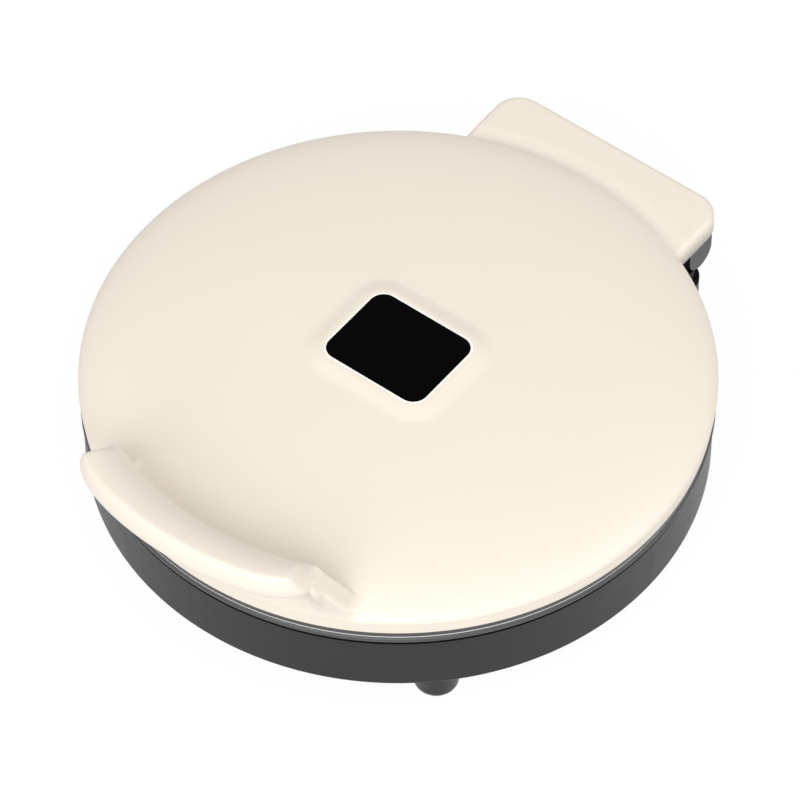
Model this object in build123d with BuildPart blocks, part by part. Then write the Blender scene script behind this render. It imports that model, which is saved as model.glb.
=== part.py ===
"""Electric baking pan: a round two-plate cooker with a floating hinged lid.

All sizes are in millimetres. +Z is up, the handle is at -Y and the hinge at +Y.
The origin is under the middle of the whole pan, on the surface that it stands on.
"""

import os
from math import asin, cos, degrees, radians, sin, sqrt

from build123d import *

os.makedirs("parts", exist_ok=True)

# Overall sizes
rim_radius = 170.0
handle_reach = 29.0
hinge_reach = 29.0
foot_height = 20.0
base_height = 35.2
plate_depth = 27.0

# Seam between the two halves, from the base wall up to the lid
wall_gap = 1.7
plate_rim_height = 4.0
seam_gap = 0.3
plate_edge = 0.8
ring_height = 3.2

# Walls and clearances
base_wall = 2.5
lid_wall = 2.5
fit_gap = 0.3
slide_gap = 0.4
screw_gap = 0.1

# Levels and places that follow from them
front_reach = rim_radius + handle_reach
rear_reach = rim_radius + hinge_reach
axis_y = (front_reach - rear_reach) / 2
base_bottom = foot_height
base_floor = base_bottom + base_wall
wall_top = base_bottom + base_height
rim_low = wall_top + wall_gap
rim_top = rim_low + plate_rim_height
upper_low = rim_top + seam_gap
ring_low = upper_low + plate_edge
lip_z = ring_low + ring_height

pan_axis = Axis((0, axis_y, 0), (0, 0, 1))
half_section = Plane(origin=(0, axis_y, 0), x_dir=(1, 0, 0), z_dir=(0, -1, 0))


def level(height):
    """Horizontal plane at a height, centred on the pan's axis."""
    return Plane(origin=(0, axis_y, height), x_dir=(1, 0, 0), z_dir=(0, 0, 1))


def across(x):
    """Plane square to X, whose own x runs back from the pan's axis."""
    return Plane(origin=(x, axis_y, 0), x_dir=(0, 1, 0), z_dir=(1, 0, 0))


def radial(angle):
    """Plane through the pan's axis, turned by an angle from the front, whose own x runs outwards."""
    out = (sin(radians(angle)), -cos(radians(angle)), 0)
    return Plane(origin=(0, axis_y, 0), x_dir=out, z_dir=(out[1], -out[0], 0))


def corners(circle):
    """Four places on a circle, halfway between the axes."""
    reach = circle / sqrt(2)
    return [(x * reach, y * reach) for x in (-1, 1) for y in (-1, 1)]


def screws(name, places, seat, length, shank, head_radius, head_height, way):
    """Like screws whose heads seat at a level and whose shanks run up (way 1) or down (way -1)."""
    with BuildPart() as group:
        with BuildSketch(level(seat)):
            with Locations(places):
                Circle(head_radius)
        extrude(amount=-way * head_height)
        with BuildSketch(level(seat)):
            with Locations(places):
                Circle(shank)
        extrude(amount=way * length)
    group.part.label = name
    export_step(group.part, f"parts/{name}.step")


# Cooking plates
plate_inset = 22.0
mouth_inset = 13.0
rim_proud = 0.5
plate_thickness = 3.0
plate_boss_height = 4.0
plate_floor = lip_z - plate_depth
plate_floor_radius = rim_radius - plate_inset
plate_mouth_radius = rim_radius - mouth_inset
lower_rim_radius = rim_radius + rim_proud
upper_floor = lip_z - 1.0
upper_top = upper_floor + plate_thickness
post_circle = plate_floor_radius - 30.0
post_top = plate_floor - plate_thickness - plate_boss_height
plate_screw_radius = 2.0
screw_head_radius = 3.7
screw_head_height = 2.4

# Heating elements and the shields behind them
element_circle = plate_floor_radius - 53.0
element_radius = 3.3
element_gap = 0.1
shield_clearance = 1.0
lower_shield_thickness = 0.8
shield_thickness = 1.0
lower_element_z = plate_floor - plate_thickness - element_gap - element_radius
upper_element_z = upper_top + element_gap + element_radius
shield_level = lower_element_z - element_radius - shield_clearance - lower_shield_thickness
shield_z = upper_element_z + element_radius + shield_clearance + fit_gap

# Base housing
wall_inset = 0.5
wall_draft = 0.3
base_top_radius = rim_radius - wall_inset
base_low_radius = base_top_radius - wall_draft
base_edge = 2.0
foot_inset = 16.0
foot_circle = rim_radius - foot_inset
foot_top_radius = 13.0
foot_boss_radius = 5.0
foot_boss_height = 8.0
foot_screw_radius = 1.9
post_radius = 5.0
post_foot_radius = 7.5
vent_circle = 62.0
vent_count = 16
vent_length = 22.0
vent_width = 4.0

# Hinge
pivot_setback = 8.0
pivot_y = rim_radius + pivot_setback
pivot_drop = 9.0
pivot_z = lip_z - pivot_drop
shaft_radius = 3.0
shaft_gap = 0.05
cover_half = 72.5
cover_height = 12.4
cover_corner = 16.0
arm_radius = 10.0
arm_outer = 71.5
arm_width = 5.0
float_travel = 12.0

# Hinge tower at the back of the base
tower_half = 72.5
tower_wall = 2.5
tower_corner = 8.0
tower_length = 40.0
tower_back = pivot_y + 4.0
tower_back_top = lip_z - 26.5
tower_front_top = lip_z - 31.0
tower_slope_y = pivot_y - 4.0

# Sliding hinge block
block_half = tower_half - tower_wall - slide_gap
block_back = tower_back - tower_wall - slide_gap
block_front_radius = base_top_radius + 1.5
block_low = base_floor + fit_gap
block_top = pivot_z - arm_radius - 2.5
ear_radius = 9.0
ear_width = 10.0
ear_front = pivot_y - ear_radius
ear_outer = arm_outer - arm_width - 0.5
guide_x = 45.0
guide_radius = 3.0
guide_head_radius = 4.2
guide_head_height = 2.5
guide_y = pivot_y - shaft_radius - guide_head_radius - fit_gap

# Mains lead outlet in the base wall, left of the hinge
gland_angle = 125.0
gland_level = base_bottom + 15.0
gland_radius = 5.5
gland_wall = 5.0
gland_depth = 5.5
gland_flange = 2.5
gland_lip = 1.5
gland_lip_depth = 2.0
lead_radius = 3.5
gland_flat = base_top_radius + 1.0
gland_plane = Plane(
    origin=(
        gland_flat * cos(radians(gland_angle)),
        axis_y + gland_flat * sin(radians(gland_angle)),
        gland_level,
    ),
    x_dir=(-sin(radians(gland_angle)), cos(radians(gland_angle)), 0),
    z_dir=(cos(radians(gland_angle)), sin(radians(gland_angle)), 0),
)

with BuildPart() as base_housing:
    with BuildSketch(half_section):
        with BuildLine():
            floor_line = Line((0, base_bottom), (base_low_radius - base_edge, base_bottom))
            TangentArc(
                floor_line @ 1,
                (base_low_radius, base_bottom + base_edge),
                tangent=(1, 0),
            )
            Polyline(
                (base_low_radius, base_bottom + base_edge),
                (base_top_radius, wall_top),
                (0, wall_top),
                (0, base_bottom),
            )
        make_face()
    revolve(axis=pan_axis)
    with BuildSketch(across(0)):
        with BuildLine():
            Polyline(
                (tower_back - tower_length, base_bottom),
                (tower_back, base_bottom),
                (tower_back, tower_back_top),
                (tower_slope_y, tower_front_top),
                (tower_back - tower_length, tower_front_top),
                close=True,
            )
        make_face()
    extrude(amount=tower_half, both=True)
    tower_corners = base_housing.edges().filter_by(Axis.Z).group_by(Axis.Y)[-1]
    fillet(tower_corners, tower_corner)
    with BuildSketch(half_section):
        with BuildLine():
            Polyline(
                (0, base_floor),
                (base_low_radius - base_wall, base_floor),
                (base_top_radius - base_wall, wall_top + 1),
                (0, wall_top + 1),
                close=True,
            )
        make_face()
    revolve(axis=pan_axis, mode=Mode.SUBTRACT)
    with BuildSketch(level(base_floor)) as tower_hollow:
        with Locations((0, tower_back - tower_wall - tower_length / 2)):
            Rectangle(2 * (tower_half - tower_wall), tower_length)
        fillet(tower_hollow.vertices().group_by(Axis.Y)[-1], tower_corner - tower_wall)
        Circle(base_top_radius, mode=Mode.SUBTRACT)
    extrude(amount=base_height, mode=Mode.SUBTRACT)
    with BuildSketch(level(base_floor)):
        with PolarLocations(post_circle, 4, start_angle=45):
            Circle(post_foot_radius)
    extrude(amount=shield_level - base_floor)
    with BuildSketch(level(base_floor)):
        with PolarLocations(post_circle, 4, start_angle=45):
            Circle(post_radius)
    extrude(amount=post_top - base_floor)
    with BuildSketch(level(base_floor)):
        with PolarLocations(foot_circle, 4, start_angle=45):
            Circle(foot_boss_radius)
    extrude(amount=foot_boss_height)
    with BuildSketch(level(base_bottom)):
        with PolarLocations(post_circle, 4, start_angle=45):
            Circle(screw_head_radius + screw_gap)
    extrude(amount=screw_head_height, mode=Mode.SUBTRACT)
    with BuildSketch(level(base_bottom)):
        with PolarLocations(post_circle, 4, start_angle=45):
            Circle(plate_screw_radius + screw_gap)
    extrude(amount=post_top - base_bottom, mode=Mode.SUBTRACT)
    with BuildSketch(level(base_bottom)):
        with PolarLocations(foot_circle, 4, start_angle=45):
            Circle(foot_screw_radius)
    extrude(amount=foot_boss_height, mode=Mode.SUBTRACT)
    with BuildSketch(level(base_bottom)):
        with PolarLocations(vent_circle, vent_count):
            SlotOverall(vent_length, vent_width)
    extrude(amount=base_wall, mode=Mode.SUBTRACT)
    with BuildSketch(level(base_floor)):
        with Locations((-guide_x, guide_y), (guide_x, guide_y)):
            Circle(guide_radius + shaft_gap)
    extrude(amount=-base_wall, mode=Mode.SUBTRACT)
    with BuildSketch(gland_plane):
        Circle(gland_radius + gland_wall)
    extrude(amount=-gland_depth)
    with BuildSketch(gland_plane):
        Circle(gland_radius)
    extrude(amount=-gland_depth, mode=Mode.SUBTRACT)
base_housing.part.label = "base_housing"
export_step(base_housing.part, "parts/base_housing.step")

# Lid housing
lid_radius = rim_radius + 1.0
crown_height = 26.0
shoulder_height = 21.0
crown_slope = 61.0
crown_flat = lid_radius - crown_slope
flange_height = 8.5

# Handle, as heights above the lid's lip and radii from the pan's axis
crest_radius = rim_radius - 1.5
crest_drop_in = 8.0
root_height = 12.0
crest_rise = 36.0
nose_depth = 3.2
crest_lean = 2.0
grip_reach = front_reach - crest_radius - crest_lean - nose_depth
grip_rise = 16.0
nose_height = 15.7
nose_tuck = 3.0
brim = 2.0
lift_flat = 21.5
lift_end = 33.5
wing_angle = 23.5
wing_corner = 7
rise_corner = 12
root_thickness = 7.5
root_level = lip_z + 7.0


def lift(angle):
    """Share of the handle's full height at an angle from the front."""
    t = min(max((abs(angle) - lift_flat) / (lift_end - lift_flat), 0), 1)
    return 1 - t * t * (3 - 2 * t)


def wing(angle, power):
    """Share of the grip's full reach at an angle, which falls off round its corners."""
    return sqrt(max(0, 1 - (abs(angle) / wing_angle) ** power))


grip_angles = [0, 5, 10, 14, 17, 19, 20.7, 22, 23, 24.5, 26.5, 29, 31.5, lift_end]
grip_stations = [-a for a in reversed(grip_angles[1:])] + grip_angles

with BuildPart() as handle_form:
    for angle in grip_stations:
        share = wing(angle, wing_corner)
        crest_x = crest_radius - crest_drop_in * (1 - lift(angle))
        crest_z = lip_z + root_height + crest_rise * lift(angle)
        top_x = crest_x + crest_lean + grip_reach * share
        top_z = crest_z + grip_rise * wing(angle, rise_corner)
        low_x = top_x + brim - nose_tuck * share
        low_z = top_z - brim - (nose_height - brim) * lift(angle)
        with BuildSketch(radial(angle)):
            with BuildLine():
                inner = Line((crest_x - root_thickness, root_level), (crest_x, crest_z))
                top = Spline(
                    inner @ 1,
                    (top_x, top_z),
                    tangents=[(0.6, 0.8), (1, 0.15)],
                )
                nose = Spline(
                    top @ 1,
                    (low_x, low_z),
                    tangents=[(1, 0.15), (-1, -0.15)],
                )
                under = Spline(
                    nose @ 1,
                    (lid_radius - 0.6, root_level),
                    tangents=[(-1, -0.15), (-0.1, -1)],
                )
                Line(under @ 1, inner @ 0)
            make_face()
    loft()

# Black panel and the raised seat round it
panel_width = 64.7
panel_depth = 53.3
panel_corner = 8.5
panel_thickness = 1.6
panel_bevel = 2.2
seat_spread = 11.0
seat_top = lip_z + 28.3
seat_low = lip_z + 24.6
seat_corner = 16.0
panel_inset = 0.2
panel_edge = 0.4

# Inside of the lid
shield_boss_circle = rim_radius - 30.0
lid_boss_radius = 4.5
lid_boss_height = 8.5
boss_floor = 1.5
small_screw_radius = 1.5
small_head_radius = 3.0
small_head_height = 2.0
bracket_low = lip_z + 0.6
bracket_thickness = 2.5
bracket_front = lid_radius + 1.5
bracket_boss_x = (-48.0, -16.0, 16.0, 48.0)
bracket_boss_y = rear_reach - 9.0
bracket_screw_grip = 5.0
recess_depth = 1.5
recess_radius = small_head_radius + screw_gap
# Cover over the hinge, blended into the crown by a valley
cover_edge = 4.5
cover_length = 90.0
cover_blend = 10.0
cover_blend_start = 0.86

with BuildPart() as cover_form:
    with BuildSketch(half_section):
        with BuildLine():
            crown = Bezier(
                (0, lip_z + crown_height),
                (crown_flat, lip_z + crown_height),
                (lid_radius, lip_z + shoulder_height),
                (lid_radius, lip_z + flange_height),
                mode=Mode.PRIVATE,
            )
            valley = Spline(
                crown @ cover_blend_start,
                (lid_radius + cover_blend, lip_z + cover_height),
                tangents=[crown % cover_blend_start, (1, 0)],
            )
            Polyline(
                valley @ 1,
                (rear_reach + cover_half, lip_z + cover_height),
                (rear_reach + cover_half, lip_z),
                (rear_reach - cover_length, lip_z),
                valley @ 0,
            )
        make_face()
    revolve(axis=pan_axis)
    with BuildSketch(level(lip_z)) as cover_plan:
        with Locations((0, rear_reach - cover_length / 2)):
            Rectangle(2 * cover_half, cover_length)
        fillet(cover_plan.vertices().group_by(Axis.Y)[-1], cover_corner)
    extrude(amount=crown_height, mode=Mode.INTERSECT)
    cover_rim = cover_form.edges().filter_by(Axis.X).group_by(Axis.Y)[-1].sort_by(Axis.Z)[-1]
    fillet(cover_rim, cover_edge)

with BuildPart() as lid_housing:
    with BuildSketch(half_section):
        with BuildLine():
            crown = Bezier(
                (0, lip_z + crown_height),
                (crown_flat, lip_z + crown_height),
                (lid_radius, lip_z + shoulder_height),
                (lid_radius, lip_z + flange_height),
            )
            Polyline(crown @ 1, (rim_radius, lip_z), (0, lip_z), crown @ 0)
        make_face()
    revolve(axis=pan_axis)
    add(cover_form.part)
    with BuildSketch(level(seat_low)):
        RectangleRounded(panel_width + 2 * seat_spread, panel_depth + 2 * seat_spread, seat_corner)
    with BuildSketch(level(seat_top)):
        RectangleRounded(
            panel_width + 2 * panel_bevel, panel_depth + 2 * panel_bevel, panel_corner + panel_bevel
        )
    loft()
    add(handle_form.part)
    with BuildSketch(half_section):
        with BuildLine():
            inner_crown = Bezier(
                (0, lip_z + crown_height - lid_wall),
                (crown_flat, lip_z + crown_height - lid_wall),
                (lid_radius - lid_wall, lip_z + shoulder_height - lid_wall),
                (lid_radius - lid_wall, lip_z + flange_height - lid_wall),
            )
            Polyline(inner_crown @ 1, (rim_radius - lid_wall, lip_z - 1), (0, lip_z - 1), inner_crown @ 0)
        make_face()
    revolve(axis=pan_axis, mode=Mode.SUBTRACT)
    with BuildSketch(level(lip_z)) as cover_hollow:
        with Locations((0, rear_reach - lid_wall - 25)):
            Rectangle(2 * (cover_half - lid_wall), 50)
        fillet(cover_hollow.vertices().group_by(Axis.Y)[-1], cover_corner - lid_wall)
    extrude(amount=cover_height - lid_wall, mode=Mode.SUBTRACT)
    with BuildSketch(level(shield_z + shield_thickness)):
        with PolarLocations(shield_boss_circle, 4, start_angle=45):
            Circle(lid_boss_radius)
    extrude(until=Until.NEXT)
    with BuildSketch(level(shield_z)):
        with PolarLocations(shield_boss_circle, 4, start_angle=45):
            Circle(small_screw_radius)
    extrude(amount=lid_boss_height - boss_floor, mode=Mode.SUBTRACT)
    with BuildSketch(level(bracket_low + bracket_thickness)):
        with Locations([(x, bracket_boss_y) for x in bracket_boss_x]):
            Circle(lid_boss_radius)
    extrude(amount=lip_z + cover_height - lid_wall - bracket_low - bracket_thickness)
    with BuildSketch(level(bracket_low + bracket_thickness)):
        with Locations([(x, bracket_boss_y) for x in bracket_boss_x]):
            Circle(small_screw_radius)
    extrude(amount=bracket_screw_grip + screw_gap, mode=Mode.SUBTRACT)
    with BuildSketch(level(seat_top)):
        RectangleRounded(panel_width + screw_gap, panel_depth + screw_gap, panel_corner)
    extrude(amount=-panel_thickness, mode=Mode.SUBTRACT)
lid_housing.part.label = "lid_housing"
export_step(lid_housing.part, "parts/lid_housing.step")

with BuildPart() as label_panel:
    with BuildSketch(level(seat_top - panel_thickness)):
        RectangleRounded(panel_width, panel_depth, panel_corner)
    extrude(amount=panel_thickness - panel_inset)
    panel_rim = label_panel.edges().group_by(Axis.Z)[-1]
    fillet(panel_rim, panel_edge)
label_panel.part.label = "label_panel"
export_step(label_panel.part, "parts/label_panel.step")

# Cooking plates, heating elements and what is fastened to them
rib_height = 5.0
channel_wall = 1.6
leg_x = 8.0
leg_end = rim_radius - 36.0
bend_radius = 10.0
upper_floor_radius = plate_floor_radius
upper_rim_radius = rim_radius - wall_inset
upper_boss_height = shield_z - upper_top
upper_land_radius = upper_floor_radius + 4.0
upper_back_radius = upper_floor_radius + 5.0
upper_rim_inner = upper_floor_radius + 12.0
floor_blend = 5.0
rim_bead = 1.6
channel_opening = 30.0
thread_gap = 0.05
probe_radius = 9.0
probe_height = 5.0
tab_width = 9.0
tab_length = 8.0
tab_thickness = 1.6
fuse_radius = 2.0
fuse_length = 22.0
fuse_y = -45.0
fuse_lead = 8.0
wire_radius = 1.2
pin_length = 9.0
pin_radius = 1.4


def element_channel():
    """Two ring walls beside a heating element, open where its legs leave."""
    outer = element_circle + element_radius + element_gap
    inner = element_circle - element_radius - element_gap
    Circle(outer + channel_wall)
    Circle(outer, mode=Mode.SUBTRACT)
    Circle(inner)
    Circle(inner - channel_wall, mode=Mode.SUBTRACT)
    with Locations((0, element_circle)):
        Rectangle(2 * channel_opening, element_circle / 2, mode=Mode.SUBTRACT)


with BuildPart() as lower_plate:
    with BuildSketch(half_section):
        with BuildLine():
            Polyline(
                (0, plate_floor - plate_thickness),
                (0, plate_floor),
                (plate_floor_radius - floor_blend, plate_floor),
                (plate_floor_radius, plate_floor + plate_thickness),
                (plate_mouth_radius, rim_top),
                (lower_rim_radius - rim_bead, rim_top),
            )
            ThreePointArc(
                (lower_rim_radius - rim_bead, rim_top),
                (lower_rim_radius, (rim_top + rim_low) / 2),
                (lower_rim_radius - rim_bead, rim_low),
            )
            Polyline(
                (lower_rim_radius - rim_bead, rim_low),
                (plate_mouth_radius + plate_thickness, rim_low),
                (plate_floor_radius + plate_thickness, plate_floor + plate_thickness / 2),
                (plate_floor_radius - plate_thickness, plate_floor - plate_thickness),
                (0, plate_floor - plate_thickness),
            )
        make_face()
    revolve(axis=pan_axis)
    with BuildSketch(level(plate_floor - plate_thickness)):
        with PolarLocations(post_circle, 4, start_angle=45):
            Circle(post_radius)
    extrude(amount=-plate_boss_height)
    with BuildSketch(level(plate_floor - plate_thickness)):
        element_channel()
    extrude(amount=-rib_height)
    with BuildSketch(level(post_top)):
        with PolarLocations(post_circle, 4, start_angle=45):
            Circle(plate_screw_radius)
    extrude(amount=plate_boss_height + plate_thickness / 3, mode=Mode.SUBTRACT)
lower_plate.part.label = "lower_plate"
export_step(lower_plate.part, "parts/lower_plate.step")

with BuildPart() as upper_plate:
    with BuildSketch(half_section):
        with BuildLine():
            Polyline(
                (0, upper_floor),
                (upper_floor_radius, upper_floor),
                (upper_land_radius, upper_low),
                (upper_rim_radius, upper_low),
                (upper_rim_radius, ring_low),
                (upper_rim_inner, ring_low),
                (upper_back_radius, upper_top),
                (0, upper_top),
                close=True,
            )
        make_face()
    revolve(axis=pan_axis)
    with BuildSketch(level(upper_top)):
        with PolarLocations(post_circle, 4, start_angle=45):
            Circle(post_radius)
    extrude(amount=upper_boss_height)
    with BuildSketch(level(upper_top)):
        element_channel()
    extrude(amount=rib_height)
    with BuildSketch(level(shield_z)):
        with PolarLocations(post_circle, 4, start_angle=45):
            Circle(small_screw_radius)
    extrude(amount=-(upper_boss_height - boss_floor), mode=Mode.SUBTRACT)
upper_plate.part.label = "upper_plate"
export_step(upper_plate.part, "parts/upper_plate.step")

bend_centre_x = leg_x + bend_radius
bend_centre_y = sqrt((element_circle + bend_radius) ** 2 - bend_centre_x**2)
gap_angle = degrees(asin(bend_centre_x / (element_circle + bend_radius)))
elements = {
    "lower_heating_element": lower_element_z,
    "upper_heating_element": upper_element_z,
}
for name, height in elements.items():
    with BuildPart() as heating_element:
        with BuildLine(level(height)) as element_path:
            leg = Line((leg_x, leg_end), (leg_x, bend_centre_y))
            bend = JernArc(leg @ 1, leg % 1, bend_radius, 90 - gap_angle)
            loop = JernArc(bend @ 1, bend % 1, element_circle, -(360 - 2 * gap_angle))
            far_bend = JernArc(loop @ 1, loop % 1, bend_radius, 90 - gap_angle)
            Line(far_bend @ 1, (-leg_x, leg_end))
        with BuildSketch(Plane(origin=element_path.line @ 0, z_dir=element_path.line % 0)):
            Circle(element_radius)
        sweep()
        leg_face = Plane(origin=(0, axis_y + leg_end, height), x_dir=(1, 0, 0), z_dir=(0, 1, 0))
        with BuildSketch(leg_face):
            with Locations((-leg_x, 0), (leg_x, 0)):
                Circle(pin_radius)
        extrude(amount=pin_length)
    heating_element.part.label = name
    export_step(heating_element.part, f"parts/{name}.step")

ring_inset = 0.3
ring_width = 8.7
spigot_radius = rim_radius - lid_wall - fit_gap
spigot_wall = 2.4
spigot_height = 4.0

with BuildPart() as upper_trim_ring:
    with BuildSketch(level(ring_low)):
        Circle(rim_radius - ring_inset)
        Circle(rim_radius - ring_inset - ring_width, mode=Mode.SUBTRACT)
    extrude(amount=ring_height)
    with BuildSketch(level(lip_z)):
        Circle(spigot_radius)
        Circle(spigot_radius - spigot_wall, mode=Mode.SUBTRACT)
    extrude(amount=spigot_height)
upper_trim_ring.part.label = "upper_trim_ring"
export_step(upper_trim_ring.part, "parts/upper_trim_ring.step")

shield_margin = 14.0
lower_shield_radius = post_circle + shield_margin
upper_shield_radius = shield_boss_circle + 10.0
wire_slot_width = 40.0
wire_slot_y = upper_shield_radius - 12.0

with BuildPart() as lower_heat_shield:
    with BuildSketch(level(shield_level)):
        Circle(lower_shield_radius)
        with PolarLocations(post_circle, 4, start_angle=45):
            Circle(post_radius + fit_gap, mode=Mode.SUBTRACT)
    extrude(amount=lower_shield_thickness)
lower_heat_shield.part.label = "lower_heat_shield"
export_step(lower_heat_shield.part, "parts/lower_heat_shield.step")

with BuildPart() as upper_heat_shield:
    with BuildSketch(level(shield_z)):
        Circle(upper_shield_radius)
        with PolarLocations(post_circle, 4, start_angle=45):
            Circle(small_screw_radius + screw_gap, mode=Mode.SUBTRACT)
        with PolarLocations(shield_boss_circle, 4, start_angle=45):
            Circle(small_screw_radius + screw_gap, mode=Mode.SUBTRACT)
        with Locations((0, upper_shield_radius)):
            Rectangle(wire_slot_width, 2 * (upper_shield_radius - wire_slot_y), mode=Mode.SUBTRACT)
    extrude(amount=shield_thickness)
upper_heat_shield.part.label = "upper_heat_shield"
export_step(upper_heat_shield.part, "parts/upper_heat_shield.step")

# Thermostat probes and thermal fuses, one pair on each plate
probes = {"lower": plate_floor - plate_thickness - probe_height, "upper": upper_top}
fuses = {
    "lower": plate_floor - plate_thickness - fuse_radius - element_gap,
    "upper": upper_top + fuse_radius + element_gap,
}
for half in ("lower", "upper"):
    with BuildPart() as thermostat:
        with BuildSketch(level(probes[half])):
            Circle(probe_radius)
        extrude(amount=probe_height)
        with BuildSketch(level(probes[half])):
            with Locations((0, probe_radius + tab_length / 8)):
                Rectangle(tab_width, tab_length)
        extrude(amount=tab_thickness)
    thermostat.part.label = f"{half}_thermostat"
    export_step(thermostat.part, f"parts/{half}_thermostat.step")
    with BuildPart() as thermal_fuse:
        with BuildSketch(across(-fuse_length / 2)):
            with Locations((fuse_y, fuses[half])):
                Circle(fuse_radius)
        extrude(amount=fuse_length)
        with BuildSketch(across(-fuse_length / 2 - fuse_lead)):
            with Locations((fuse_y, fuses[half])):
                Circle(wire_radius / 2)
        extrude(amount=fuse_length + 2 * fuse_lead)
    thermal_fuse.part.label = f"{half}_thermal_fuse"
    export_step(thermal_fuse.part, f"parts/{half}_thermal_fuse.step")

# Screws, each group one node
screws(
    "lower_plate_screws",
    corners(post_circle),
    base_bottom + screw_head_height,
    post_top + plate_boss_height - base_bottom - screw_head_height,
    plate_screw_radius - thread_gap,
    screw_head_radius,
    screw_head_height - screw_gap,
    1,
)
screws(
    "upper_plate_screws",
    corners(post_circle),
    shield_z + shield_thickness,
    shield_thickness + upper_boss_height - boss_floor - screw_gap,
    small_screw_radius - thread_gap,
    small_head_radius,
    small_head_height,
    -1,
)
screws(
    "shield_screws",
    corners(shield_boss_circle),
    shield_z,
    lid_boss_height - boss_floor - screw_gap,
    small_screw_radius - thread_gap,
    small_head_radius,
    small_head_height,
    1,
)
screws(
    "hinge_screws",
    [(x, bracket_boss_y) for x in bracket_boss_x],
    bracket_low + recess_depth,
    bracket_thickness - recess_depth + bracket_screw_grip,
    small_screw_radius - thread_gap,
    small_head_radius,
    recess_depth - screw_gap,
    1,
)

# Feet, each with its screw and its soft pad
foot_radius = 12.0
foot_well_radius = 5.0
foot_well_depth = 12.0
pad_radius = foot_well_radius - screw_gap
pad_depth = 4.0
pad_proud = 1.0
pad_edge = 0.4
foot_edge = 5.5
foot_head_radius = 4.4
foot_head_height = 2.4
foot_names = ("front_left", "back_left", "front_right", "back_right")
for name, (x, y) in zip(foot_names, corners(foot_circle)):
    foot_section = Plane(origin=(x, axis_y + y, 0), x_dir=(1, 0, 0), z_dir=(0, -1, 0))
    foot_axis = Axis((x, axis_y + y, 0), (0, 0, 1))
    with BuildPart() as foot:
        with BuildSketch(foot_section):
            with BuildLine():
                Polyline(
                    (0, pad_proud),
                    (foot_radius, pad_proud),
                    (foot_top_radius, base_bottom),
                    (0, base_bottom),
                    close=True,
                )
            make_face()
        revolve(axis=foot_axis)
        fillet(foot.edges().group_by(Axis.Z)[0], foot_edge)
        with BuildSketch(Plane(origin=(x, axis_y + y, pad_proud))):
            Circle(foot_well_radius)
        extrude(amount=foot_well_depth, mode=Mode.SUBTRACT)
        with BuildSketch(Plane(origin=(x, axis_y + y, pad_proud))):
            Circle(foot_screw_radius + screw_gap)
        extrude(amount=foot_height, mode=Mode.SUBTRACT)
    foot.part.label = f"foot_{name}"
    export_step(foot.part, f"parts/foot_{name}.step")
    with BuildPart() as foot_pad:
        with BuildSketch(Plane(origin=(x, axis_y + y, 0))):
            Circle(pad_radius)
        extrude(amount=pad_proud + pad_depth)
        fillet(foot_pad.edges().group_by(Axis.Z)[0], pad_edge)
    foot_pad.part.label = f"foot_pad_{name}"
    export_step(foot_pad.part, f"parts/foot_pad_{name}.step")
screws(
    "foot_screws",
    corners(foot_circle),
    pad_proud + foot_well_depth,
    foot_height - pad_proud - foot_well_depth + foot_boss_height - 1,
    foot_screw_radius - thread_gap,
    foot_head_radius,
    foot_head_height,
    1,
)

# Hinge: guide bolts in the base, the block that slides on them, the shaft and the lid's arms
screws(
    "guide_bolts",
    [(-guide_x, guide_y), (guide_x, guide_y)],
    block_top + float_travel + fit_gap,
    block_top + float_travel + fit_gap - base_bottom,
    guide_radius,
    guide_head_radius,
    guide_head_height,
    -1,
)

with BuildPart() as hinge_block:
    with BuildSketch(level(block_low)) as block_plan:
        with Locations((0, block_back - tower_length / 2)):
            Rectangle(2 * block_half, tower_length)
        fillet(block_plan.vertices().group_by(Axis.Y)[-1], tower_corner - tower_wall - slide_gap)
        Circle(block_front_radius, mode=Mode.SUBTRACT)
    extrude(amount=block_top - block_low)
    for side in (-1, 1):
        with BuildSketch(across(side * (ear_outer - ear_width / 2))):
            with Locations((pivot_y, pivot_z)):
                Circle(ear_radius)
            with Locations(((ear_front + block_back) / 2, (pivot_z + block_top) / 2)):
                Rectangle(block_back - ear_front, pivot_z - block_top)
        extrude(amount=ear_width / 2, both=True)
    with BuildSketch(across(-ear_outer - 1)):
        with Locations((pivot_y, pivot_z)):
            Circle(shaft_radius + shaft_gap)
    extrude(amount=2 * ear_outer + 2, mode=Mode.SUBTRACT)
    with BuildSketch(level(block_low)):
        with Locations((-guide_x, guide_y), (guide_x, guide_y)):
            Circle(guide_radius + shaft_gap)
    extrude(amount=block_top - block_low, mode=Mode.SUBTRACT)
hinge_block.part.label = "hinge_block"
export_step(hinge_block.part, "parts/hinge_block.step")

shaft_half = arm_outer - 1.5
shaft_chamfer = 0.5
with BuildPart() as hinge_shaft:
    with BuildSketch(across(-shaft_half)):
        with Locations((pivot_y, pivot_z)):
            Circle(shaft_radius)
    extrude(amount=2 * shaft_half)
    chamfer(hinge_shaft.edges().filter_by(GeomType.CIRCLE), shaft_chamfer)
hinge_shaft.part.label = "hinge_shaft"
export_step(hinge_shaft.part, "parts/hinge_shaft.step")

bracket_half = cover_half - lid_wall - fit_gap
bracket_back = rear_reach - lid_wall - fit_gap
root_front = pivot_y - arm_radius + 1
root_back = rear_reach - cover_corner
root_low = lip_z - 2
root_high = bracket_low + bracket_thickness

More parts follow.
